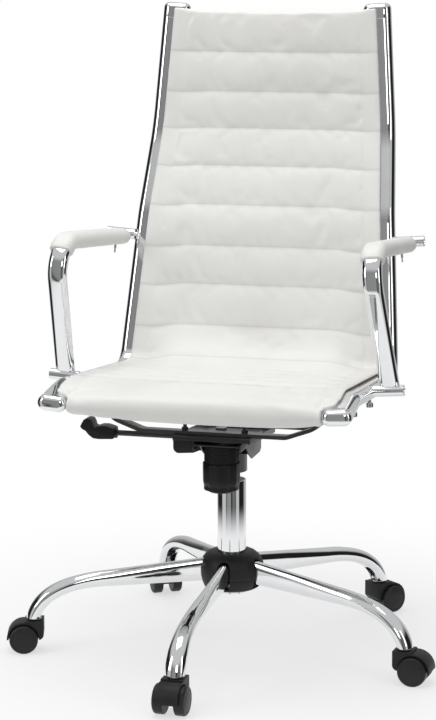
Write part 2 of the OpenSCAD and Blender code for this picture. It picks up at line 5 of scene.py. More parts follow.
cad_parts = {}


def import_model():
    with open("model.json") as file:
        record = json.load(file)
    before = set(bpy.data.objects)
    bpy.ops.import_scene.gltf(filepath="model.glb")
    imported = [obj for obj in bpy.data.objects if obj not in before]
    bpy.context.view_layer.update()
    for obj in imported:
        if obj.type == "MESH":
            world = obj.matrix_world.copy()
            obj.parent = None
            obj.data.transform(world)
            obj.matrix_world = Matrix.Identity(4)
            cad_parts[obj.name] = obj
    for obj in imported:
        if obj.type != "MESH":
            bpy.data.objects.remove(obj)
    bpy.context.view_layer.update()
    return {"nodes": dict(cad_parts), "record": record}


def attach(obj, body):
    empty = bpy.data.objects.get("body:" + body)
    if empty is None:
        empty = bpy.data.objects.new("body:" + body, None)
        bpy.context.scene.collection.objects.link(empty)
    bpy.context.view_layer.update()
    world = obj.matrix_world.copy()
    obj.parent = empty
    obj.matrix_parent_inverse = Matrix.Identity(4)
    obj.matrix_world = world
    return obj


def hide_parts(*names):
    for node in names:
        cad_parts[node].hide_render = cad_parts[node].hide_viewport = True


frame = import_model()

MM = 0.001
rad = math.radians

# ------------------------------------------------------------------ camera
def add_camera():
    a, e, roll = rad(15.03), rad(10.69), rad(-0.21)
    target = Vector((-24.8, 0.0, 513.4)) * MM
    back = Vector((math.sin(a) * math.cos(e), -math.cos(a) * math.cos(e), math.sin(e)))
    cam = bpy.data.cameras.new("camera")
    cam.sensor_fit = "VERTICAL"
    cam.sensor_height = 36.0
    cam.sensor_width = 36.0
    cam.lens = 2284.0 / 720.0 * 36.0
    cam.clip_end = 60
    cam.shift_x = (218.0 - 217.5) / 720.0
    cam.shift_y = (359.8 - 360.0) / 720.0
    ob = bpy.data.objects.new("camera", cam)
    bpy.context.scene.collection.objects.link(ob)
    q = back.to_track_quat("Z", "Y")
    m = q.to_matrix().to_4x4() @ Matrix.Rotation(roll, 4, "Z")
    ob.matrix_world = Matrix.Translation(target + back * 3.936) @ m
    bpy.context.scene.camera = ob
    return back
BACK = add_camera()

# ------------------------------------------------------------------ materials
def new_mat(name):
    m = bpy.data.materials.new(name)
    m.use_nodes = True
    nt = m.node_tree
    p = nt.nodes["Principled BSDF"]
    return m, nt, p
def node(nt, kind, **kw):
    n = nt.nodes.new(kind)
    for k, v in kw.items():
        if k.startswith("i_"):
            n.inputs[k[2:].replace("_", " ")].default_value = v
        else:
            setattr(n, k, v)
    return n
def ramp(nt, src, stops):
    r = nt.nodes.new("ShaderNodeValToRGB")
    els = r.color_ramp.elements
    while len(els) < len(stops):
        els.new(0.5)
    for el, (pos, c) in zip(els, stops):
        el.position = pos
        el.color = (c, c, c, 1) if not isinstance(c, tuple) else (*c, 1)
    nt.links.new(src, r.inputs["Fac"])
    return r.outputs["Color"]
def bump(nt, heights, p):
    prev = None
    for h, strength, dist in heights:
        b = node(nt, "ShaderNodeBump")
        b.inputs["Strength"].default_value = strength
        b.inputs["Distance"].default_value = dist
        nt.links.new(h, b.inputs["Height"])
        if prev:
            nt.links.new(prev, b.inputs["Normal"])
        prev = b.outputs["Normal"]
    nt.links.new(prev, p.inputs["Normal"])
def obj_coord(nt):
    return node(nt, "ShaderNodeTexCoord").outputs["Object"]

def chrome(name, base=(0.84, 0.85, 0.86), rough=(0.035, 0.085)):
    m, nt, p = new_mat(name)
    p.inputs["Metallic"].default_value = 1.0
    co = obj_coord(nt)
    n = node(nt, "ShaderNodeTexNoise", i_Scale=38.0, i_Detail=5.0, i_Roughness=0.6)
    nt.links.new(co, n.inputs["Vector"])
    c = ramp(nt, n.outputs["Fac"], [(0.3, tuple(x * 0.965 for x in base)), (0.7, base)])
    nt.links.new(c, p.inputs["Base Color"])
    r = ramp(nt, n.outputs["Fac"], [(0.35, rough[0]), (0.75, rough[1])])
    nt.links.new(r, p.inputs["Roughness"])
    fine = node(nt, "ShaderNodeTexNoise", i_Scale=900.0, i_Detail=3.0)
    wavy = node(nt, "ShaderNodeTexNoise", i_Scale=16.0, i_Detail=1.0)
    nt.links.new(co, fine.inputs["Vector"])
    nt.links.new(co, wavy.inputs["Vector"])
    bump(nt, [(wavy.outputs["Fac"], 0.12, 0.0006), (fine.outputs["Fac"], 0.03, 0.00004)], p)
    return m

def plastic(name, col, rough, grain=2600.0, depth=0.00009, streak=0.0):
    m, nt, p = new_mat(name)
    co = obj_coord(nt)
    big = node(nt, "ShaderNodeTexNoise", i_Scale=24.0, i_Detail=4.0)
    gr = node(nt, "ShaderNodeTexVoronoi", i_Scale=grain)
    fine = node(nt, "ShaderNodeTexNoise", i_Scale=grain * 0.6, i_Detail=4.0)
    for n in (big, gr, fine):
        nt.links.new(co, n.inputs["Vector"])
    c = ramp(nt, big.outputs["Fac"], [(0.3, tuple(x * 0.8 for x in col)), (0.72, tuple(min(1, x * 1.3) for x in col))])
    nt.links.new(c, p.inputs["Base Color"])
    r = ramp(nt, big.outputs["Fac"], [(0.3, rough - 0.07), (0.75, rough + 0.07)])
    nt.links.new(r, p.inputs["Roughness"])
    p.inputs["Specular IOR Level"].default_value = 0.3
    bump(nt, [(fine.outputs["Fac"], 0.28, depth), (gr.outputs["Distance"], 0.35, depth)], p)
    return m

def paint(name, col, rough=0.33):
    m, nt, p = new_mat(name)
    co = obj_coord(nt)
    peel = node(nt, "ShaderNodeTexNoise", i_Scale=420.0, i_Detail=2.0)
    big = node(nt, "ShaderNodeTexNoise", i_Scale=18.0, i_Detail=5.0)
    for n in (peel, big):
        nt.links.new(co, n.inputs["Vector"])
    c = ramp(nt, big.outputs["Fac"], [(0.3, tuple(x * 0.85 for x in col)), (0.7, tuple(x * 1.2 for x in col))])
    nt.links.new(c, p.inputs["Base Color"])
    r = ramp(nt, big.outputs["Fac"], [(0.3, rough - 0.06), (0.75, rough + 0.1)])
    nt.links.new(r, p.inputs["Roughness"])
    p.inputs["Coat Weight"].default_value = 0.25
    p.inputs["Coat Roughness"].default_value = 0.2
    bump(nt, [(peel.outputs["Fac"], 0.22, 0.00018)], p)
    return m

def steel(name, col=(0.42, 0.43, 0.44), rough=0.32):
    m, nt, p = new_mat(name)
    p.inputs["Metallic"].default_value = 1.0
    co = obj_coord(nt)
    mp = node(nt, "ShaderNodeMapping")
    mp.inputs["Scale"].default_value = (60, 60, 1400)
    nt.links.new(co, mp.inputs["Vector"])
    br = node(nt, "ShaderNodeTexNoise", i_Scale=1.0, i_Detail=4.0)
    nt.links.new(mp.outputs["Vector"], br.inputs["Vector"])
    big = node(nt, "ShaderNodeTexNoise", i_Scale=40.0, i_Detail=5.0)
    nt.links.new(co, big.inputs["Vector"])
    c = ramp(nt, big.outputs["Fac"], [(0.3, tuple(x * 0.82 for x in col)), (0.7, tuple(min(1, x * 1.15) for x in col))])
    nt.links.new(c, p.inputs["Base Color"])
    r = ramp(nt, br.outputs["Fac"], [(0.3, rough - 0.08), (0.75, rough + 0.12)])
    nt.links.new(r, p.inputs["Roughness"])
    bump(nt, [(br.outputs["Fac"], 0.12, 0.00005)], p)
    return m

def leather(name, seams=False):
    m, nt, p = new_mat(name)
    co = obj_coord(nt)
    cells = node(nt, "ShaderNodeTexVoronoi", i_Scale=720.0)
    cells.feature = "SMOOTH_F1"
    fine = node(nt, "ShaderNodeTexNoise", i_Scale=1500.0, i_Detail=4.0)
    mid = node(nt, "ShaderNodeTexNoise", i_Scale=95.0, i_Detail=4.0, i_Roughness=0.6)
    big = node(nt, "ShaderNodeTexNoise", i_Scale=7.0, i_Detail=3.0)
    for n in (cells, fine, mid, big):
        nt.links.new(co, n.inputs["Vector"])
    c = ramp(nt, big.outputs["Fac"], [(0.3, (0.795, 0.79, 0.765)), (0.7, (0.845, 0.843, 0.822))])
    # pores sit a shade darker
    pore = ramp(nt, cells.outputs["Distance"], [(0.0, 1.0), (0.55, 1.0), (0.9, 0.93)])
    mul = node(nt, "ShaderNodeMix", data_type="RGBA", blend_type="MULTIPLY")
    mul.inputs["Factor"].default_value = 1.0
    nt.links.new(c, mul.inputs["A"])
    nt.links.new(pore, mul.inputs["B"])
    col = mul.outputs["Result"]
    layers = [(mid.outputs["Fac"], 0.10, 0.0012), (cells.outputs["Distance"], 0.22, 0.00022), (fine.outputs["Fac"], 0.12, 0.0001)]
    if seams:
        at = node(nt, "ShaderNodeAttribute", attribute_name="seam")
        line = ramp(nt, at.outputs["Fac"], [(0.0, 0.0), (0.10, 0.55), (0.30, 1.0)])
        layers.insert(0, (line, 0.35, 0.0008))
        # painted shade: the leather's colour is darkened along the seams, down to 0.80 at a seam, where the pillows dip
        # and shade falls
        dark = ramp(nt, at.outputs["Fac"], [(0.0, 0.80), (0.08, 0.94), (0.3, 1.0)])
        painted_seam_shade_mix = node(nt, "ShaderNodeMix", data_type="RGBA", blend_type="MULTIPLY")
        painted_seam_shade_mix.inputs["Factor"].default_value = 1.0
        nt.links.new(col, painted_seam_shade_mix.inputs["A"])
        nt.links.new(dark, painted_seam_shade_mix.inputs["B"])
        col = painted_seam_shade_mix.outputs["Result"]
    nt.links.new(col, p.inputs["Base Color"])
    r = ramp(nt, mid.outputs["Fac"], [(0.3, 0.40), (0.75, 0.52)])
    nt.links.new(r, p.inputs["Roughness"])
    p.inputs["Specular IOR Level"].default_value = 0.42
    bump(nt, layers, p)
    return m

CHROME = chrome("chrome_polished")
CHROME_SMALL = chrome("chrome_fittings", (0.78, 0.79, 0.8), (0.08, 0.16))
LEATHER = leather("leather_sling", True)
LEATHER_PAD = leather("leather_sleeve")
BLACK = plastic("plastic_black_textured", (0.010, 0.010, 0.0105), 0.5)
BLACK_FINE = plastic("plastic_black_fine", (0.008, 0.008, 0.0085), 0.36, 3600.0, 0.00004)
WHEEL = plastic("wheel_nylon", (0.012, 0.012, 0.0125), 0.42, 3000.0, 0.00005)
PAINT = paint("paint_black", (0.009, 0.009, 0.0095))
PAINT_BAR = paint("paint_bar", (0.03, 0.03, 0.032), 0.3)
STEEL = steel("steel_zinc")
MARK = plastic("button_red", (0.32, 0.03, 0.025), 0.4)

SLOT_MAT = {"chrome": CHROME, "black_plastic": BLACK, "wheel_black": WHEEL, "black_paint": PAINT, "zinc_steel": STEEL, "leather_white": LEATHER_PAD}
SPECIAL = {"zip_pulls": CHROME_SMALL, "arm_bolts": CHROME_SMALL, "stretcher_screws": CHROME_SMALL, "valve_button": MARK,
           "seat_stretcher_front": PAINT_BAR, "seat_stretcher_rear": PAINT_BAR, "lever_handle": BLACK_FINE, "column_bush": BLACK_FINE}
slots = {s["node"]: s["material_slot"] for s in frame["record"]["subparts"]}
def set_mat(ob, mat):
    if not ob.material_slots:
        ob.data.materials.append(mat)
    for s in ob.material_slots:
        s.material = mat
for name, ob in frame["nodes"].items():
    set_mat(ob, SPECIAL.get(name, SLOT_MAT.get(slots.get(name), BLACK)))

# ------------------------------------------------------------------ paths, as in the CAD
def unit(v): return v / np.linalg.norm(v)
def left(v): return np.array([-v[1], v[0]])
class Path:
    def __init__(self, P, R, n=24):
        P = [np.array(p, float) for p in P]
        pts = [P[0]]; dirs = [unit(P[1] - P[0])]
        for i in range(1, len(P) - 1):
            a, b = unit(P[i] - P[i - 1]), unit(P[i + 1] - P[i])
            t = math.atan2(a[0] * b[1] - a[1] * b[0], a @ b)
            s = 1 if t > 0 else -1
            T = R[i] * math.tan(abs(t) / 2)
            c = P[i] - a * T + left(a) * R[i] * s
            v = -left(a) * s
            a0 = math.atan2(v[1], v[0])
            for k in range(n + 1):
                q = a0 + t * k / n
                r = np.array([math.cos(q), math.sin(q)])
                pts.append(c + R[i] * r); dirs.append(left(r) * s)
        pts.append(P[-1]); dirs.append(unit(P[-1] - P[-2]))
        self.p = np.array(pts); self.d = np.array(dirs)
        seg = np.linalg.norm(np.diff(self.p, axis=0), axis=1)
        self.s = np.concatenate([[0], np.cumsum(seg)])
        self.L = float(self.s[-1])
    def at(self, s):
        s = np.clip(s, 0, self.L)
        p = np.stack([np.interp(s, self.s, self.p[:, k]) for k in (0, 1)], -1)
        a = np.unwrap(np.arctan2(self.d[:, 1], self.d[:, 0]))
        q = np.interp(s, self.s, a)
        return p, np.stack([np.cos(q), np.sin(q)], -1)

RAIL_V = [(-244, 483), (-172, 494), (180, 461.5), (242.6, 741), (302.4, 893), (326, 1090)]
RAIL_R = [0, 120, 42, 250, 300, 0]
ARM_V = [(-45, 489), (-152, 733), (217, 696.5)]
ARM_R = [0, 45, 0]
ARM_LOW, ARM_HIGH = (-51.5, 485.5), (226, 700)

def T(x, y, z): return Matrix.Translation((x, y, z))
def R(ax, a): return Matrix.Rotation(rad(a), 4, ax)
RAIL_M = T(234.3, 0, 490) @ R("Y", -4) @ R("Z", 0.95) @ T(0, 0, -490)
ARM_M = RAIL_M @ T(51, 0, 485) @ R("Y", -1.14) @ T(0, 0, -485)
def xform(M, V):
    M = np.array(M)
    V = np.asarray(V, float)
    return V @ M[:3, :3].T + M[:3, 3]

DROP = 5.0
def make(name, V, F, mat, body, mirror=False, angle=40, scale=MM, smooth=True):
    V = np.asarray(V, float).copy()
    if scale == MM:
        V[:, 2] -= DROP
    if mirror:
        V[:, 0] *= -1
        F = [tuple(reversed(f)) for f in F]
    me = bpy.data.meshes.new(name)
    me.from_pydata((V * scale).tolist(), [], [tuple(int(i) for i in f) for f in F])
    me.validate()
    me.update()
    ob = bpy.data.objects.new(name, me)
    bpy.context.scene.collection.objects.link(ob)
    if smooth:
        shade(ob, angle)
    if mat:
        me.materials.append(mat)
    if body:
        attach(ob, body)
    return ob
def shade(ob, angle=40):
    me = ob.data
    me.polygons.foreach_set("use_smooth", [True] * len(me.polygons))
    me.set_sharp_from_angle(angle=rad(angle))
    me.update()

def stadium(w, t, m=20, grow=0.0):
    pts = []
    for h in (0, 1):
        for k in range(m + 1):
            q = rad(-90 + 180 * k / m + 180 * h)
            pts.append(((1 if h == 0 else -1) * (w - t) / 2 + t / 2 * math.cos(q), t / 2 * math.sin(q)))
    return np.array(pts)
def sweep(path, ss, section, M, caps=(True, True), mod=None):
    """section (lateral, normal) swept along path; returns verts in the row frame and quads"""
    P, D = path.at(np.asarray(ss))
    N = len(section)
    V = []
    for i, (p, d) in enumerate(zip(P, D)):
        l = left(d)
        q = section if mod is None else mod(i, ss[i], section)
        for u, v in q:
            V.append((u, p[0] + l[0] * v, p[1] + l[1] * v))
    F = []
    for i in range(len(P) - 1):
        for k in range(N):
            a, b = i * N + k, i * N + (k + 1) % N
            F.append((a, b, b + N, a + N))
    F = [tuple(reversed(f)) for f in F]
    if caps[0]: F.append(tuple(range(N)))
    if caps[1]: F.append(tuple(reversed(range((len(P) - 1) * N, len(P) * N))))
    return xform(M, V), F
def merge(*parts):
    V, F, o = [], [], 0
    for v, f in parts:
        V.append(np.asarray(v)); F += [tuple(i + o for i in g) for g in f]; o += len(v)
    return np.concatenate(V), F
def lathe(prof, M, n=48, close=True):
    """prof of (radius, axial), turned about local X; M places it"""
    V, F = [], []
    for r, x in prof:
        for k in range(n):
            q = 2 * math.pi * k / n
            V.append((x, r * math.cos(q), r * math.sin(q)))
    for i in range(len(prof) - 1):
        for k in range(n):
            a, b = i * n + k, i * n + (k + 1) % n
            F.append((a, b, b + n, a + n))
    if close:
        F.append(tuple(reversed(range(n)))); F.append(tuple(range((len(prof) - 1) * n, len(prof) * n)))
    return xform(M, V), F
def fix_normals(ob):
    bm = bmesh.new(); bm.from_mesh(ob.data)
    bmesh.ops.recalc_face_normals(bm, faces=bm.faces)
    bm.to_mesh(ob.data); bm.free(); ob.data.update()
def cut(ob, cutters):
    for c in cutters:
        md = ob.modifiers.new("cut", "BOOLEAN")
        md.operation = "DIFFERENCE"; md.solver = "EXACT"; md.object = c
    dg = bpy.context.evaluated_depsgraph_get()
    me = bpy.data.meshes.new_from_object(ob.evaluated_get(dg))
    ob.modifiers.clear()
    old = ob.data; ob.data = me; bpy.data.meshes.remove(old)
    for c in cutters:
        bpy.data.objects.remove(c)

def dense(path, step, s0=None, s1=None):
    s0 = 0 if s0 is None else s0; s1 = path.L if s1 is None else s1
    base = np.arange(s0, s1, step)
    keep = path.s[(path.s > s0 + 0.5) & (path.s < s1 - 0.5)]
    return np.unique(np.round(np.concatenate([base, keep, [s1]]), 2))

# ------------------------------------------------------------------ side rails
rail = Path(RAIL_V, RAIL_R, 28)
def rail_point(z):
    i = np.searchsorted(rail.p[:, 1][30:], z) + 30
    f = (z - rail.p[i - 1, 1]) / (rail.p[i, 1] - rail.p[i - 1, 1])
    p = rail.p[i - 1] * (1 - f) + rail.p[i] * f
    return p, rail.d[i]
for side, mir in (("right", False), ("left", True)):
    V, F = sweep(rail, dense(rail, 12), stadium(50, 27, 22), RAIL_M)
    ob = make("rail_tube_" + side, V, F, CHROME, "seat", mir)
    fix_normals(ob)
    cutters = []
    for z in (566, 846, 1020):
        p, d = rail_point(z)
        q = p - left(d) * 6.5
        v, f = lathe([(5, 21.2), (5, 30)], RAIL_M @ T(0, q[0], q[1]), 32)
        c = make("cutter", v, f, None, None, mir, smooth=False); fix_normals(c); cutters.append(c)
    cut(ob, cutters)
    shade(ob, 32)
    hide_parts("side_rail_" + side)

def cap(p, d, name, more=0.0):
    parts = []
    sec = stadium(50, 27, 22)
    prof = [(-0.6, 0.7), (0, 0.25), (0.6, 0.0), (8.5, 0.0), (11.2, 0.5), (13.6, 1.7), (15.5, 3.4), (16.9, 5.6), (17.8, 8.2), (18.2, 10.6)]
    prof = [(h + (more if h > 1 else 0), ins) for h, ins in prof]
    V = []
    for h, ins in prof:
        for u, v in stadium(50 - 2 * ins, 27 - 2 * ins, 22):
            o = np.array(p) + np.array(d) * h + left(np.array(d)) * v
            V.append((u, o[0], o[1]))
    N = len(sec); F = []
    for i in range(len(prof) - 1):
        for k in range(N):
            a, b = i * N + k, i * N + (k + 1) % N
            F.append((a, a + N, b + N, b))
    F.append(tuple(range(N))); F.append(tuple(reversed(range((len(prof) - 1) * N, len(prof) * N))))
    return xform(RAIL_M, V), F
def cap_pair(name, p, d, cad, more=0.0):
    V, F = cap(p, d, name, more)
    W = V.copy(); W[:, 0] *= -1
    allV, allF = merge((V, F), (W, [tuple(reversed(f)) for f in F]))
    ob = make(name, allV, allF, CHROME, "seat"); fix_normals(ob); shade(ob, 40)
    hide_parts(cad)
cap_pair("rail_cap_top", rail.p[-1], rail.d[-1], "top_caps", 10.0)
cap_pair("rail_cap_front", rail.p[0], -rail.d[0], "front_caps")

# ------------------------------------------------------------------ arms
arm = Path(ARM_V, ARM_R, 36)
for side, mir in (("right", False), ("left", True)):
    tube = sweep(arm, dense(arm, 12), stadium(33.4, 20, 20), ARM_M)
    def collar(c, x1):
        return lathe([(7.6, x1 - 2.6), (7.6, x1), (9.0, x1), (9.6, x1 - 0.7), (9.6, 23.9)], RAIL_M @ T(0, c[0], c[1]), 48)
    def weld(c, x, dy, dz):
        # fillet bead where the tube meets the collar
        return lathe([(9.7, x - 19), (11.3, x - 17.6), (11.3, x + 17.6), (9.7, x + 19)], RAIL_M @ T(0, c[0], c[1]), 48)
    V, F = merge(tube, collar(ARM_LOW, 76), collar(ARM_HIGH, 78))
    ob = make("arm_loop_" + side, V, F, CHROME, "seat", mir); fix_normals(ob); shade(ob, 40)
    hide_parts("arm_" + side)

# ------------------------------------------------------------------ base arms
def arm_p(t):
    if t < 0.5:
        return np.array([33, 149.5]) * (1 - t / 0.5) + np.array([215, 134]) * (t / 0.5)
    u = (t - 0.5) / 0.5
    return (1 - u) ** 2 * np.array([215, 134.0]) + 2 * u * (1 - u) * np.array([330, 127.0]) + u * u * np.array([347.5, 66.0])
def arm_d(t):
    if t >= 1: return np.array([0, -1.0])
    return unit(arm_p(min(1, t + 0.002)) - arm_p(t - 0.002))
def mixv(a, b, t): return a + (b - a) * max(0, min(1, t))
def sm(t): t = max(0, min(1, t)); return t * t * (3 - 2 * t)
def spow(c, p): return math.copysign(abs(c) ** p, c)
def base_arm(w, t0, t1, m, n):
    V, F = [], []
    ts = [t0 + (t1 - t0) * i / m for i in range(m + 1)]
    for i, t in enumerate(ts):
        p, d = arm_p(t), arm_d(t)
        a = mixv(9.6, 17.2, (t - 0.25) / 0.6) - w
        b = (mixv(21, 12.8, t / 0.62) if t < 0.62 else 12.8) - w
        pw = mixv(0.62, 1, t / 0.7)
        for k in range(n):
            q = 2 * math.pi * k / n
            u, v = a * spow(math.sin(q), pw), b * spow(math.cos(q), pw)
            V.append((p[0] - d[1] * v, u, p[1] + d[0] * v))
    for i in range(m):
        for k in range(n):
            x, y = i * n + k, i * n + (k + 1) % n
            F.append((x, x + n, y + n, y))
    F.append(tuple(range(n))); F.append(tuple(reversed(range(m * n, (m + 1) * n))))
    return np.array(V), F
def box_mesh(lo, hi):
    x0, y0, z0 = lo; x1, y1, z1 = hi
    V = [(x0, y0, z0), (x1, y0, z0), (x1, y1, z0), (x0, y1, z0), (x0, y0, z1), (x1, y0, z1), (x1, y1, z1), (x0, y1, z1)]
    F = [(0, 3, 2, 1), (4, 5, 6, 7), (0, 1, 5, 4), (1, 2, 6, 5), (2, 3, 7, 6), (3, 0, 4, 7)]
    return V, F
base_parts = []
V, F = base_arm(0, 0.0, 1.0, 90, 64)
one = make("one_arm", V, F, None, None, smooth=False); fix_normals(one)
vi, fi = base_arm(2.0, 0.55, 1.03, 40, 48)
inner = make("c1", vi, fi, None, None, smooth=False); fix_normals(inner)
slotc = []
v, f = box_mesh((346 - 24, -9.5, 60), (346 - 4, 9.5, 91)); b1 = make("c2", v, f, None, None, smooth=False)
v, f = lathe([(9.5, -34), (9.5, -4)], T(346, 0, 91), 40); b2 = make("c3", v, f, None, None, smooth=False); fix_normals(b2)
cut(one, [inner, b1, b2])
me = one.data
bv = np.array([v.co[:] for v in me.vertices]) * 1000
bv[:, 2] += DROP
bf = [tuple(p.vertices) for p in me.polygons]
parts = []
for k in range(5):
    parts.append((xform(R("Z", 53.2 + 72 * k), bv), bf))
bpy.data.objects.remove(one)
V, F = merge(*parts)
ob = make("base_arm_tubes", V, F, CHROME, "base"); shade(ob, 38)
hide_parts("base_arms")

# ------------------------------------------------------------------ arm sleeves
def hash_noise(seed):
    r = np.random.RandomState(seed)
    ph = r.uniform(0, 2 * math.pi, 12); fr = r.uniform(0.5, 2.2, 12); dr = r.uniform(-1, 1, 12)
    def f(a, b):
        return sum(math.sin(fr[i] * a + dr[i] * 3 * b + ph[i]) for i in range(12)) / 12
    return f
d2 = unit(np.array(ARM_V[2], float) - np.array(ARM_V[1], float))
a_mid = [i for i in range(len(arm.s)) if abs(arm.p[i, 0] + 105) < 60]
c_arc = None
# arc centre of the loop's bend
a_in = unit(np.array(ARM_V[1], float) - np.array(ARM_V[0], float))
t_arc = math.atan2(a_in[0] * d2[1] - a_in[1] * d2[0], a_in @ d2)
c_arc = np.array(ARM_V[1], float) - a_in * 45 * math.tan(abs(t_arc) / 2) - left(a_in) * 45
s_start = None
for i, p in enumerate(arm.p):
    q = math.degrees(math.atan2(p[1] - c_arc[1], p[0] - c_arc[0]))
    if s_start is None and arm.s[i] > 150 and 90 < q <= 140:
        s_start = float(arm.s[i])
s_end = float(arm.L - (217 - 206) / d2[0])
for side, mir, seed in (("right", False, 3), ("left", True, 8)):
    nz = hash_noise(seed)
    ss = np.unique(np.concatenate([dense(arm, 3.0, s_start, s_end), s_start + np.array([0.6, 1.4, 2.6]), s_end - np.array([0.6, 1.4, 2.6])]))
    ss = np.array([s for i, s in enumerate(ss) if i == 0 or s - ss[i - 1] > 0.3])
    Lp = s_end - s_start
    def mod(i, s, sec):
        e = min(s - s_start, s_end - s)
        hem = 1 - math.exp(-max(0, e) / 1.3) * 0.55
        lip = -0.55 * math.exp(-((e - 5.0) / 1.2) ** 2)
        out = []
        n = len(sec)
        for k, (u, v) in enumerate(sec):
            q = math.atan2(v, u)
            w = 0.32 * nz(s * 0.055, q) + 0.22 * nz(s * 0.16 + 9, q * 1.7)
            # small gathers above the bend and near the ends
            g = 0.35 * math.exp(-max(0, e - 4) / 16) * math.sin(s * 0.9 + 2.2 * math.cos(q)) * (0.5 + 0.5 * math.sin(q * 3 + seed))
            zipg = -1.2 * math.exp(-((q + math.pi / 2) / 0.05) ** 2) if v < 0 else 0
            k_out = 3.9 * hem + lip + w + g + zipg
            l = math.hypot(u / 1.6, v)
            nx, ny = (u / 1.6) / l, v / l
            out.append((u + nx * k_out, v + ny * k_out))
        return out
    sec = stadium(33.4 + 0.5, 20 + 0.5, 30)
    V, F = sweep(arm, ss, sec, ARM_M, mod=mod)
    ob = make("sleeve_" + side, V, F, LEATHER_PAD, "seat", mir); fix_normals(ob); shade(ob, 60)
    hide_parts("arm_pad_" + side)

# ------------------------------------------------------------------ sling
def sling_paths():
    def ends(P):
        P = [np.array(p, float) for p in P]
        P[0] = P[0] - unit(P[1] - P[0]) * 10
        P[-1] = P[-1] + unit(P[-1] - P[-2]) * 22
        return P
    edge = Path(ends(RAIL_V), RAIL_R, 60)
    Rc = list(RAIL_R); Rc[2] = 92
    mid = Path(ends(RAIL_V), Rc, 60)
    return edge, mid
edge, mid = sling_paths()
def key(path):
    # arc length at the middle of the seat-back corner, where the direction passes 36 degrees
    a = np.degrees(np.unwrap(np.arctan2(path.d[:, 1], path.d[:, 0])))
    i = next(i for i in range(len(a)) if path.s[i] > 250 and a[i] >= 36)
    return float(path.s[i])
K_e, K_m = key(edge), key(mid)
# seams: heights up the back and distances along the seat
def s_of_z(path, z):
    i = next(i for i in range(len(path.s)) if path.s[i] > K_m and path.p[i, 1] >= z)
    f = (z - path.p[i - 1, 1]) / (path.p[i, 1] - path.p[i - 1, 1])
    return float(path.s[i - 1] + f * (path.s[i] - path.s[i - 1]))
def s_of_y(path, y):
    i = next(i for i in range(len(path.s)) if path.p[i, 0] >= y)
    f = (y - path.p[i - 1, 0]) / (path.p[i, 0] - path.p[i - 1, 0])
    return float(path.s[i - 1] + f * (path.s[i] - path.s[i - 1]))
SEAMS = [s_of_y(mid, y) for y in (-146, -92, -38, 18, 76)] + [K_m - 8] + [s_of_z(mid, z) for z in (545, 618, 686, 756, 824, 892, 960, 1032)]
S_ROLL = s_of_y(mid, -218)
SEAT_PUFF = 2.6

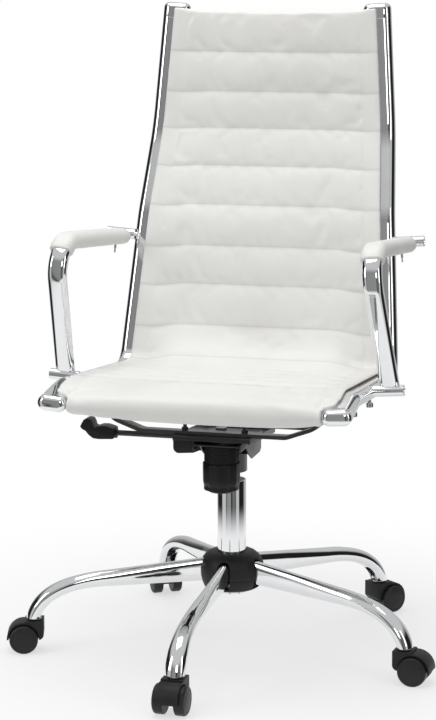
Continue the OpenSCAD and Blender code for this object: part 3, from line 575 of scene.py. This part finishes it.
def sling():
    step = 6.6
    marks = [S_ROLL] + SEAMS + [mid.L - 4]
    rows = []
    for a, b in zip(marks[:-1], marks[1:]):
        n = max(2, int(round((b - a) / step)))
        rows += [a + (b - a) * k / n for k in range(n)]
    rows.append(marks[-1])
    rows = np.array(rows)
    seam_row = np.array([min(abs(r - s) for s in SEAMS) < 0.01 for r in rows])
    # pillow shape between seams: 0 at a seam, 1 in the middle
    def pillow(s):
        m = np.array([S_ROLL - 80] + SEAMS + [mid.L + 22])
        i = int(np.searchsorted(m, s) - 1)
        i = max(0, min(len(m) - 2, i))
        f = (s - m[i]) / (m[i + 1] - m[i])
        return math.sin(math.pi * f) ** 0.7 if 0 < f < 1 else 0.0
    pil = np.array([pillow(s) for s in rows])
    # loop of the profile: front rows (top to front), roll rows, back rows (front to top)
    front = list(range(len(rows) - 1, -1, -1))
    NR = 18
    inner_c = np.sin(np.linspace(-1, 1, 55) * math.pi / 2 * 0.82) / math.sin(math.pi / 2 * 0.82)
    NO = 5
    cols = [("L", k) for k in range(NO, 0, -1)] + [("I", c) for c in inner_c] + [("R", k) for k in range(1, NO + 1)]
    def edge_s(s):
        # matching arc length on the tight path
        if s < K_m: return s * K_e / K_m
        return K_e + (s - K_m) * (edge.L - K_e) / (mid.L - K_m)
    Pm, Dm = mid.at(rows)
    Pe, De = edge.at(np.array([edge_s(s) for s in rows]))
    U_IN = -25.9
    def over(s):
        # how far the flange reaches over the rail: the same all along
        return 1.0
    roll = []
    # the roll's outline in the y-z plane, from the top surface round the front to the underside
    p0, d0 = mid.at(np.array([S_ROLL])); p0, d0 = p0[0], d0[0]
    top = p0 + left(d0) * 21.5
    bot = p0 + left(d0) * 1.0
    ctrl = np.array([top, (-228, 506.6), (-239, 504.2), (-251, 499.2), (-259, 492.5), (-263, 481), (-259.5, 470), (-250, 462.8), (-238, 460.6), (-224, 462.6), (-208, 469), bot])
    tt = np.linspace(0, 1, len(ctrl))
    def catmull(ctrl, n):
        c = np.vstack([2 * ctrl[0] - ctrl[1], ctrl, 2 * ctrl[-1] - ctrl[-2]])
        seg = len(ctrl) - 1
        out = []
        for k in range(n):
            x = (k + 1) / (n + 1) * seg
            i = min(int(x), seg - 1); f = x - i
            a, b, c2, d = c[i], c[i + 1], c[i + 2], c[i + 3]
            out.append(0.5 * ((2 * b) + (-a + c2) * f + (2 * a - 5 * b + 4 * c2 - d) * f * f + (-a + 3 * b - 3 * c2 + d) * f ** 3))
        return np.array(out)
    rollp = catmull(ctrl, NR)
    L = 2 * len(rows) + NR
    V = np.zeros((len(cols), L, 3)); pin = np.zeros((len(cols), L)); att = np.ones((len(cols), L))
    seam_s = np.array(SEAMS)
    RM, = (np.array(RAIL_M),)
    def world(u, y, z, side):
        w = RM[:3, :3] @ np.array([u, y, z]) + RM[:3, 3]
        if side == "L": w = w * np.array([-1, 1, 1])
        return w
    for j, (kind, c) in enumerate(cols):
        if kind == "I":
            ax = abs(c)
            wc = sm((1 - ax) / 0.34)
        for li in range(L):
            isroll = len(rows) <= li < len(rows) + NR
            if isroll:
                y, z = rollp[li - len(rows)]
                if kind == "I":
                    # the roll narrows in height towards its ends and bellies at the middle
                    shrink = 1 - 0.30 * (abs(c) ** 6)
                    cy, cz = -236, 484
                    y2 = cy + (y - cy) * (1 - 0.10 * abs(c) ** 4); z2 = cz + (z - cz) * shrink
                    z2 += -1.5 * (1 - c * c) if z < 480 else 0
                    a = world(U_IN, y2, z2, "L"); b = world(U_IN, y2, z2, "R")
                    V[j, li] = a + (b - a) * (c + 1) / 2
                else:
                    k = c / NO
                    shr = math.sqrt(max(0.02, 1 - k ** 2)) * 0.70
                    cy, cz = -236, 484
                    A = np.array([U_IN + 1.3 * k, cy + (y - cy) * shr, cz + (z - cz) * shr])
                    # near the top the cover still lies over the rail, up to its end cap
                    ri_ = li - len(rows)
                    g = (1, 1, 1, 0.8, 0.3)[ri_] if ri_ < 5 else 0
                    if g:
                        Pq, Dq = edge.at(np.array([s_of_y(edge, min(-218, max(y, -252)))]))
                        hh = 19.6 - (2.4 if k > 0.85 else 0)
                        B = Pq[0] + left(Dq[0]) * (17.6 + (hh - 17.6) * k)
                        B = np.array([U_IN + (1.0 - U_IN) * k, B[0], B[1]])
                        A = A * (1 - g) + B * g
                    V[j, li] = world(A[0], A[1], A[2], kind)
                pin[j, li] = 0.0 if kind == "I" and abs(c) < 0.97 else 1.0
                continue
            isfront = li < len(rows)
            ri = front[li] if isfront else li - len(rows) - NR
            s = rows[ri]
            # ends of the pad at the top are rounded
            tend = min(1, (mid.L - s) / 9.0)
            rnd = math.sqrt(max(0, 1 - (1 - tend) ** 2)) if tend < 1 else 1
            if kind == "I":
                P = Pe[ri] * (1 - wc) + Pm[ri] * wc
                D = unit(De[ri] * (1 - wc) + Dm[ri] * wc)
                nl = left(D)
                if isfront: off = 17.6 + 3.4 * pil[ri] + (SEAT_PUFF * (pil[ri] - 0.55) if s < K_m - 8 else 0)
                else: off = 4.5 - 3.0 * pil[ri]
                off = 9.5 + (off - 9.5) * (0.35 + 0.65 * rnd)
                # the pad thins a little towards the rails
                if not isfront and ax > 0.9: off += (ax - 0.9) / 0.1 * 1.5
                y, z = P + nl * off
                a = world(U_IN, y, z, "L"); b = world(U_IN, y, z, "R")
                V[j, li] = a + (b - a) * (c + 1) / 2
                V[j, li, 2] -= 4.5 * (1 - c * c) * sm(1 - (mid.L - s) / 120)
                edge_pin = ax > 0.97
            else:
                k = c / NO
                u = U_IN + (over(s) - U_IN) * k
                P, nl = Pe[ri], left(De[ri])
                back = 0.9 + math.sqrt(max(0, 13.9 ** 2 - max(0, -11.5 - u) ** 2)) if u < -11.5 else 14.8
                fr = 17.6 + 3.4 * pil[ri]
                fr = fr + (19.6 - fr) * k
                if k > 0.85:
                    m_ = (fr + back) / 2; fr = m_ + (fr - m_) * 0.45; back = m_ - (m_ - back) * 0.45
                off = fr if isfront else back
                y, z = P + nl * off
                V[j, li] = world(u, y, z, kind)
                edge_pin = True
            if edge_pin or seam_row[ri] or ri >= len(rows) - 1:
                pin[j, li] = 1.0
            # distance to the nearest seam: the mask for the seam bump and for the painted shade along the seams
            dist = np.min(np.abs(seam_s - s))
            att[j, li] = min(1.0, dist / 20.0)
    NC = len(cols)
    flat = V.reshape(-1, 3)
    F = []
    for j in range(NC - 1):
        for i in range(L):
            a, b = j * L + i, j * L + (i + 1) % L
            F.append((a, b, b + L, a + L))
    for j, rev in ((0, False), (NC - 1, True)):
        for i in range(L // 2 - 1):
            f = (j * L + i, j * L + L - 1 - i, j * L + L - 2 - i, j * L + i + 1)
            F.append(tuple(reversed(f)) if rev else f)
    return flat, F, pin.reshape(-1), att.reshape(-1), NC, L

V, F, PIN, ATT, NC, LOOP = sling()
# faint hand-made unevenness, so that the leather buckles as it fills
rs = np.random.RandomState(11)
X = V * 0.001
amp = 0.5
bumps = np.zeros(len(V))
for i in range(14):
    k = rs.uniform(-1, 1, 3) * np.array([30, 45, 45]); ph = rs.uniform(0, 6.28)
    bumps += np.sin(X @ k + ph) / 14
sl = make("sling_pad", V, F, None, None, smooth=False)
fix_normals(sl)
nrm = np.array([v.normal[:] for v in sl.data.vertices])
co = np.array([v.co[:] for v in sl.data.vertices])
free = 1 - PIN
co = co + nrm * (bumps * free)[:, None] * amp * MM
sl.data.vertices.foreach_set("co", co.reshape(-1)); sl.data.update()
start = co.copy()
g = sl.vertex_groups.new(name="pin")
g.add([int(i) for i in np.where(PIN > 0.5)[0]], 1.0, "REPLACE")
md = sl.modifiers.new("fill", "CLOTH")
st = md.settings
st.quality = 6
st.mass = 0.35
st.tension_stiffness = 22; st.compression_stiffness = 18; st.shear_stiffness = 8; st.bending_stiffness = 0.9
st.use_pressure = True
st.uniform_pressure_force = 1.6
st.vertex_group_mass = "pin"
st.pin_stiffness = 1.0
st.shrink_min = -0.025
st.effector_weights.gravity = 0
st.air_damping = 2.0
md.collision_settings.use_collision = False
md.point_cache.frame_start = 1; md.point_cache.frame_end = 22
sc = bpy.context.scene
for f in range(1, 21):
    sc.frame_set(f)
dg = bpy.context.evaluated_depsgraph_get()
ev = sl.evaluated_get(dg).to_mesh()
new = np.zeros(len(co) * 3); ev.vertices.foreach_get("co", new); new = new.reshape(-1, 3)
sl.modifiers.clear()
sc.frame_set(1)
dlt = new - start
L_ = np.linalg.norm(dlt, axis=1)
capd = 1.5 * MM
k = np.where(L_ > capd, capd / np.maximum(L_, 1e-9), 1.0)
new = start + dlt * k[:, None]
print("sling moved mm: mean %.2f max %.2f" % (L_.mean() * 1000, L_.max() * 1000))
sl.data.vertices.foreach_set("co", new.reshape(-1)); sl.data.update()

# seam: 0 at a seam, 1 from 20 mm off; it sets the seam bump and the painted shade along the seams in the leather
at = sl.data.attributes.new("seam", "FLOAT", "POINT")
at.data.foreach_set("value", ATT.astype(float))
sl.vertex_groups.clear()
md = sl.modifiers.new("sub", "SUBSURF"); md.levels = 1; md.render_levels = 1
dg = bpy.context.evaluated_depsgraph_get()
me = bpy.data.meshes.new_from_object(sl.evaluated_get(dg))
sl.modifiers.clear(); old = sl.data; sl.data = me; bpy.data.meshes.remove(old)
me.name = "sling_pad"
shade(sl, 80)
sl.data.materials.clear(); sl.data.materials.append(LEATHER)
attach(sl, "seat"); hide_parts("sling")

# ------------------------------------------------------------------ moulded and pressed pieces with broken edges
def soften(cad, width, seg=2, angle=28, mat=None):
    """a copy of a CAD node's mesh with rounded edges, shown in its place"""
    src = frame["nodes"].get(cad)
    if src is None: return
    bm = bmesh.new(); bm.from_mesh(src.data)
    bmesh.ops.remove_doubles(bm, verts=bm.verts, dist=2e-6)
    bmesh.ops.dissolve_limit(bm, angle_limit=rad(1.5), verts=bm.verts, edges=bm.edges)
    me = bpy.data.meshes.new("soft_" + cad)
    bm.to_mesh(me); bm.free()
    ob = bpy.data.objects.new("soft_" + cad, me)
    bpy.context.scene.collection.objects.link(ob)
    md = ob.modifiers.new("bevel", "BEVEL")
    md.width = width * MM; md.segments = seg; md.limit_method = "ANGLE"; md.angle_limit = rad(angle)
    md.use_clamp_overlap = True; md.harden_normals = False; md.miter_outer = "MITER_ARC"
    dg = bpy.context.evaluated_depsgraph_get()
    new = bpy.data.meshes.new_from_object(ob.evaluated_get(dg))
    ob.modifiers.clear(); old = ob.data; ob.data = new; bpy.data.meshes.remove(old)
    shade(ob, 50)
    ob.data.materials.clear()
    ob.data.materials.append(mat or SPECIAL.get(cad, SLOT_MAT.get(slots.get(cad), BLACK)))
    body = next(b for b, ns in frame["record"]["behaviour"]["bodies"].items() if cad in ns)
    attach(ob, body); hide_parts(cad)
    return ob
for k in range(1, 6):
    soften("caster_hood_%d" % k, 1.3, 3)
for n, wd in (("lever_handle", 2.2), ("lever_housing", 1.4), ("mechanism_base", 0.5), ("mechanism_top_plate", 0.45), ("seat_stretcher_front", 1.1),
              ("seat_stretcher_rear", 1.1), ("lever_pivot", 0.4), ("hub_cover_upper", 0.9), ("hub_cover_lower", 0.8)):
    soften(n, wd, 3 if wd > 1 else 2)

# tension knob: twelve flats with soft edges, narrowing to its base
def knob():
    n = 144
    prof = [(8.0, 303.6, 0.0), (19.0, 303.6, 0.1), (21.5, 304.2, 0.3), (24.0, 306.0, 0.6), (28.2, 311.0, 1.0), (30.6, 315.5, 1.0), (31.7, 320.0, 1.0),
        (32.1, 326.0, 1.0), (32.3, 340.0, 1.0), (32.4, 352.6, 1.0), (32.0, 354.2, 0.9), (31.3, 354.8, 0.5), (30.4, 354.8, 0.0), (30.2, 354.2, 0.0), (30.2, 308.6, 0.0), (8.0, 308.6, 0.0)]
    V, F = [], []
    for r, z, flat in prof:
        for k in range(n):
            q = 2 * math.pi * k / n
            m = (q % (math.pi / 6)) - math.pi / 12
            # a twelve-sided outline with its corners eased
            poly = min(0.974 / math.cos(m), 0.998)
            rr = r * (1 - flat + flat * poly)
            V.append((rr * math.cos(q + 0.1), -69 + rr * math.sin(q + 0.1), z))
    for i in range(len(prof) - 1):
        for k in range(n):
            a, b = i * n + k, i * n + (k + 1) % n
            F.append((a, b, b + n, a + n))
    F.append(tuple(reversed(range(n)))); F.append(tuple(range((len(prof) - 1) * n, len(prof) * n)))
    ob = make("knob_twelve_sided", V, F, BLACK_FINE, "knob"); fix_normals(ob); shade(ob, 24)
    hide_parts("tension_knob")
knob()

# ------------------------------------------------------------------ stage and light
def add_floor():
    n = 96
    V = [(0, 0, 0)]; F = []
    for r in (0.8, 3.0, 9.0):
        for k in range(n):
            q = 2 * math.pi * k / n
            V.append((r * math.cos(q), r * math.sin(q), 0))
    for k in range(n):
        F.append((0, 1 + k, 1 + (k + 1) % n))
        for i in range(2):
            a, b = 1 + i * n + k, 1 + i * n + (k + 1) % n
            F.append((a, a + n, b + n, b))
    m, nt, p = new_mat("floor_pale")
    co = obj_coord(nt)
    nz = node(nt, "ShaderNodeTexNoise", i_Scale=1.3, i_Detail=2.0)
    nt.links.new(co, nz.inputs["Vector"])
    c = ramp(nt, nz.outputs["Fac"], [(0.3, 0.90), (0.7, 0.93)])
    nt.links.new(c, p.inputs["Base Color"])
    p.inputs["Roughness"].default_value = 0.7
    p.inputs["Specular IOR Level"].default_value = 0.15
    # the floor runs out into a plain white sweep
    ln = node(nt, "ShaderNodeVectorMath", operation="LENGTH")
    nt.links.new(co, ln.inputs[0])
    fade = node(nt, "ShaderNodeMapRange", interpolation_type="SMOOTHSTEP")
    fade.inputs["From Min"].default_value = 0.3; fade.inputs["From Max"].default_value = 1.0
    fade.inputs["To Min"].default_value = 0.62; fade.inputs["To Max"].default_value = 1.0
    nt.links.new(ln.outputs["Value"], fade.inputs["Value"])
    em = node(nt, "ShaderNodeEmission")
    em.inputs["Color"].default_value = (1, 1, 1, 1)
    em.inputs["Strength"].default_value = 1.0
    mixs = node(nt, "ShaderNodeMixShader")
    nt.links.new(fade.outputs["Result"], mixs.inputs["Fac"])
    nt.links.new(p.outputs["BSDF"], mixs.inputs[1])
    nt.links.new(em.outputs["Emission"], mixs.inputs[2])
    lp = node(nt, "ShaderNodeLightPath")
    far = node(nt, "ShaderNodeMapRange", interpolation_type="SMOOTHSTEP")
    far.inputs["From Min"].default_value = 0.75; far.inputs["From Max"].default_value = 1.05
    nt.links.new(ln.outputs["Value"], far.inputs["Value"])
    inv = node(nt, "ShaderNodeMath", operation="SUBTRACT"); inv.inputs[0].default_value = 1.0
    nt.links.new(lp.outputs["Is Camera Ray"], inv.inputs[1])
    both = node(nt, "ShaderNodeMath", operation="MULTIPLY")
    nt.links.new(inv.outputs["Value"], both.inputs[0]); nt.links.new(far.outputs["Result"], both.inputs[1])
    clear = node(nt, "ShaderNodeBsdfTransparent")
    mix2 = node(nt, "ShaderNodeMixShader")
    nt.links.new(both.outputs["Value"], mix2.inputs["Fac"])
    nt.links.new(mixs.outputs["Shader"], mix2.inputs[1]); nt.links.new(clear.outputs["BSDF"], mix2.inputs[2])
    nt.links.new(mix2.outputs["Shader"], nt.nodes["Material Output"].inputs["Surface"])
    ob = make("floor", V, F, m, None, scale=1.0, smooth=False)
    ob.location.z = -0.0004
add_floor()

def area(name, loc, aim, size, power, color=(1, 1, 1), spread=180):
    l = bpy.data.lights.new(name, "AREA")
    l.shape = "RECTANGLE"; l.size, l.size_y = size
    l.energy = power; l.color = color
    l.spread = rad(spread)
    ob = bpy.data.objects.new(name, l)
    bpy.context.scene.collection.objects.link(ob)
    ob.location = loc
    ob.rotation_euler = (Vector(aim) - Vector(loc)).to_track_quat("-Z", "Y").to_euler()
    return ob
area("top_box", (-0.3, -0.1, 2.9), (0, 0, 0.4), (2.0, 1.7), 29)
area("left_box", (-2.7, -2.3, 1.9), (0, 0, 0.65), (0.9, 1.9), 24)
area("right_strip", (2.9, -1.5, 1.4), (0, 0, 0.6), (0.32, 2.1), 9)
area("front_fill", (1.1, -4.4, 2.0), (0, 0, 0.6), (1.1, 1.4), 22)

w = bpy.data.worlds.new("studio")
bpy.context.scene.world = w
w.use_nodes = True
nt = w.node_tree
nt.nodes.clear()
out = nt.nodes.new("ShaderNodeOutputWorld")
bg = nt.nodes.new("ShaderNodeBackground")
tc = nt.nodes.new("ShaderNodeTexCoord")
sep = nt.nodes.new("ShaderNodeSeparateXYZ")
nt.links.new(tc.outputs["Generated"], sep.inputs["Vector"])
# the room round the object: a white sweep behind, softboxes at the sides, a dark room towards the camera
at2 = node(nt, "ShaderNodeMath", operation="ARCTAN2")
nt.links.new(sep.outputs["Y"], at2.inputs[0]); nt.links.new(sep.outputs["X"], at2.inputs[1])
mr = node(nt, "ShaderNodeMapRange")
mr.inputs["From Min"].default_value = -math.pi; mr.inputs["From Max"].default_value = math.pi
nt.links.new(at2.outputs["Value"], mr.inputs["Value"])
horiz = ramp(nt, mr.outputs["Result"], [(0.0, 0.03), (0.055, 0.03), (0.075, 0.95), (0.15, 0.95), (0.165, 0.06), (0.185, 0.42), (0.265, 0.50), (0.28, 0.03),
    (0.30, 0.05), (0.315, 0.30), (0.36, 0.24), (0.375, 0.10), (0.40, 0.95), (0.45, 0.95), (0.465, 0.02), (0.58, 0.03), (0.64, 0.8), (0.75, 1.0), (0.86, 0.8), (0.92, 0.03), (1.0, 0.03)])
vert = ramp(nt, sep.outputs["Z"], [(0.0, 0.0), (0.42, 0.0), (0.62, 1.0)])
mx = node(nt, "ShaderNodeMix", data_type="RGBA")
mx.inputs["B"].default_value = (1, 1, 1, 1)
nt.links.new(vert, mx.inputs["Factor"])
nt.links.new(horiz, mx.inputs["A"])
nt.links.new(mx.outputs["Result"], bg.inputs["Color"])
bg.inputs["Strength"].default_value = 0.62
bgc = nt.nodes.new("ShaderNodeBackground")
bgc.inputs["Color"].default_value = (1, 1, 1, 1)
bgc.inputs["Strength"].default_value = 1.0
lp = nt.nodes.new("ShaderNodeLightPath")
ms = nt.nodes.new("ShaderNodeMixShader")
nt.links.new(lp.outputs["Is Camera Ray"], ms.inputs["Fac"])
nt.links.new(bg.outputs["Background"], ms.inputs[1])
nt.links.new(bgc.outputs["Background"], ms.inputs[2])
nt.links.new(ms.outputs["Shader"], out.inputs["Surface"])
bpy.context.scene.view_settings.view_transform = "Standard"
